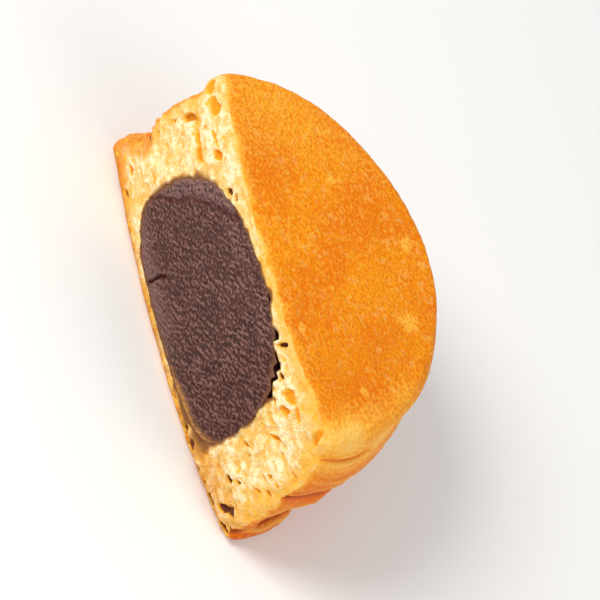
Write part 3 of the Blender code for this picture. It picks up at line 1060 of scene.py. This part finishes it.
def makeCrust(grain):
    material, tree, shader = newMaterial("baked_crust", **crustLook)
    speck = useGroup(tree, grain, -1400, 500, Size=0.62, Seed=1.0).outputs
    patch = useGroup(tree, grain, -1400, 300, Size=1.1, Seed=5.0).outputs
    fold = mark(tree, -900, "fold")
    lip = mark(tree, -1100, "lip")

    patchy = ramp(tree, -1200, -300, patch["Height"], 0.0, 1.0, 0.35, 1.0)
    edge = maths(tree, -1200, -500, "MULTIPLY", mark(tree, -500, "byCut"), 0.9)
    pale = maths(tree, -1000, -500, "MAXIMUM", mark(tree, -700, "pale"), edge)
    speckled = maths(tree, -1000, -700, "MULTIPLY_ADD", speck["Height"], 0.36, -0.22)
    paleness = maths(tree, -800, -500, "ADD", pale, speckled)

    layers = [
        ((234, 110, 0), speck["Height"], 0.55, 0.1, 0.62),
        ((251, 181, 54), speck["Height"], 0.55, 1.0, 0.46),
        ((255, 188, 84), patch["Height"], 0.6, 0.95, 0.3),
        ((255, 206, 124), patch["Flecks"], 0.26),
        # painted shade low on the side and on the +X half of the top
        ((210, 88, 0), mark(tree, -300, "low"), patchy),
        # paleness also carries the painted light on the -X half of the top
        ((255, 184, 62), paleness, 0.08, 0.85, 0.85),
        ((255, 216, 122), paleness, 0.6, 1.1, 0.55),
        # painted shade in the creases, just below them and in the pleats
        ((230, 100, 4), fold, 0.05, 0.45, 0.8),
        ((160, 56, 6), fold, 0.4, 0.95, 0.85),
        # painted highlight on the lips, which are also glossier
        ((255, 196, 84), lip, 0.55),
    ]
    baked = colourMix(tree, -1000, 300, srgb(237, 127, 0), srgb(246, 151, 6), patch["Mottle"])
    wire(tree, layTones(tree, baked, layers), shader.inputs["Base Color"])
    wire(tree, ramp(tree, 2150, -100, lip, 0.0, 1.0, 0.5, 0.3), shader.inputs["Roughness"])
    bump(tree, shader, speck["Height"], 0.00018)
    return material


def makeCrumbMaterial(grain):
    material, tree, shader = newMaterial("cut_crumb", **crumbLook)
    speck = useGroup(tree, grain, -1400, 500, Size=0.6, Seed=9.0).outputs
    pores = useGroup(tree, grain, -1400, 300, Size=1.2, Seed=23.0).outputs
    streak = mark(tree, 0, "streak")
    hole = mark(tree, -200, "hole")
    deep = maths(tree, -1200, -300, "MULTIPLY", hole, mark(tree, -400, "dark"))
    stain = mark(tree, -600, "stain")
    layers = [
        # painted highlight on raised crumb and painted shade in its dips
        ((255, 245, 208), streak, 0.6, 0.95, 0.7),
        ((243, 178, 72), streak, 0.55, 0.1, 0.75),
        ((238, 180, 88), speck["Height"], 0.45, 0.05, 0.7),
        ((242, 182, 80), pores["Height"], 0.42, 0.12, 0.6),
        ((255, 243, 204), pores["Height"], 0.6, 0.9, 0.45),
        ((250, 180, 44), mark(tree, -800, "gold"), 0.8),
        ((230, 138, 32), mark(tree, -1000, "toast"), 0.85),
        # browned crumb with painted shade along the underside and in the low +X corner
        ((188, 104, 14), mark(tree, -1200, "brownAndShade"), 0.85),
        # painted shade in the holes, darker with their depth
        ((254, 190, 60), hole, 0.05, 0.35, 1.0),
        ((246, 158, 16), hole, 0.4, 0.9, 1.0),
        ((120, 60, 34), deep, 0.1, 0.75, 1.0),
        ((182, 122, 48), stain, 0.02, 0.6, 0.75),
        ((116, 64, 30), stain, 0.5, 1.0, 0.85),
    ]
    bread = colourMix(tree, -1000, 300, srgb(245, 205, 124), srgb(252, 227, 166), speck["Mottle"])
    wire(tree, layTones(tree, bread, layers), shader.inputs["Base Color"])
    bump(tree, shader, speck["Height"], 0.0002)
    return material


def makePasteMaterial(grain):
    material, tree, shader = newMaterial("sweet_paste", **pasteLook)
    speck = useGroup(tree, grain, -1400, 500, Size=0.35, Seed=14.0).outputs
    ridge = mark(tree, 0, "ridge")
    smear = mark(tree, -200, "smear")
    layers = [
        # greyer strip, and a painted sheen over the paler paste
        ((132, 98, 94), mark(tree, -400, "greyerAndSheen"), 0.7),
        # painted highlight on ridge crests and painted shade between them
        ((152, 111, 99), ridge, 0.5, 1.0, 0.68),
        ((50, 16, 8), ridge, 0.5, 0.1, 0.9),
        # painted shade in the groove, the crack and towards the +X end
        ((80, 20, 8), mark(tree, -600, "groove"), 0.2, 0.8, 0.85),
        ((140, 88, 46), smear, 0.1, 0.7, 0.75),
        ((204, 146, 70), smear, 0.6, 1.0, 0.75),
    ]
    smooth = colourMix(tree, -1000, 300, srgb(78, 35, 24), srgb(90, 47, 36), speck["Mottle"])
    wire(tree, layTones(tree, smooth, layers), shader.inputs["Base Color"])
    bump(tree, shader, speck["Height"], 0.00015)
    return material


# floor, light and camera. Angles are in degrees, distances and sizes in metres.
studio = dict(
    azimuth=29.0,
    elevation=44.2,
    roll=52.8,
    distance=0.7,
    lens=232.0,
    keyLight=dict(distance=0.8, size=0.4, power=4.6, colour=(1, 0.98, 0.95)),
    fillLight=dict(distance=0.9, size=0.7, power=2.7, colour=(1, 1, 1)),
    skyStrength=0.48,
    floorColour=(0.94, 0.94, 0.93, 1),
    floorHalf=3,
    floorGap=0.00005,  # under the cake
)


def viewAxes():
    a, e, r = (radians(studio[name]) for name in ("azimuth", "elevation", "roll"))
    back = Vector((sin(a) * cos(e), -cos(a) * cos(e), sin(e)))
    level = Vector((cos(a), sin(a), 0))
    upright = back.cross(level)
    right = cos(r) * level + sin(r) * upright
    up = cos(r) * upright - sin(r) * level
    return right, up, back


def makeCamera():
    right, up, back = viewAxes()
    low, high = cadBox
    aim = (low + high) / 2
    camera = bpy.data.objects.new("camera", bpy.data.cameras.new("camera"))
    bpy.context.scene.collection.objects.link(camera)
    camera.data.lens = studio["lens"]
    place = Matrix((right, up, back)).transposed().to_4x4()
    place.translation = aim + back * studio["distance"]
    camera.matrix_world = place
    bpy.context.scene.camera = camera


def makeLight(name, toward, distance, size, power, colour):
    light = bpy.data.objects.new(name, bpy.data.lights.new(name, "AREA"))
    light.data.shape = "DISK"
    light.data.size = size
    light.data.energy = power
    light.data.color = colour
    light.location = toward.normalized() * distance
    light.rotation_euler = toward.to_track_quat("Z", "Y").to_euler()
    bpy.context.scene.collection.objects.link(light)


def makeStudio():
    right, up, back = viewAxes()
    keySide = up * 0.65 - right * 0.25 + back * 0.8
    fillSide = back * 0.55 - up * 0.55 + right * 0.7
    makeLight("keyLight", keySide, **studio["keyLight"])
    makeLight("fillLight", fillSide, **studio["fillLight"])
    half = studio["floorHalf"]
    corners = [(-half, -half, 0), (half, -half, 0), (half, half, 0), (-half, half, 0)]
    floor = bpy.data.objects.new("floor", bpy.data.meshes.new("floor"))
    floor.data.from_pydata(corners, [], [(0, 1, 2, 3)])
    material = bpy.data.materials.new("floor")
    material.use_nodes = True
    shader = material.node_tree.nodes["Principled BSDF"]
    shader.inputs["Base Color"].default_value = studio["floorColour"]
    shader.inputs["Roughness"].default_value = 0.9
    floor.data.materials.append(material)
    floor.location.z = cakeLow.z - studio["floorGap"]
    bpy.context.scene.collection.objects.link(floor)
    world = bpy.data.worlds.new("studio")
    world.use_nodes = True
    sky = world.node_tree.nodes["Background"]
    sky.inputs["Color"].default_value = (1, 1, 1, 1)
    sky.inputs["Strength"].default_value = studio["skyStrength"]
    bpy.context.scene.world = world
    bpy.context.scene.view_settings.view_transform = "Standard"


print("materials")
breadGrain = makeBreadGrain()
crustMaterial = makeCrust(breadGrain)
crumbMaterial = makeCrumbMaterial(breadGrain)
pasteMaterial = makePasteMaterial(breadGrain)

print("half cake")
halfCake = makeCake([crustMaterial, crumbMaterial])
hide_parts("cake")
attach(halfCake, "root")

print("bean paste")
beanPaste = makePaste(pasteMaterial)
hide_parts("paste")
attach(beanPaste, "root")

print("studio")
makeCamera()
makeStudio()

bpy.context.view_layer.update()
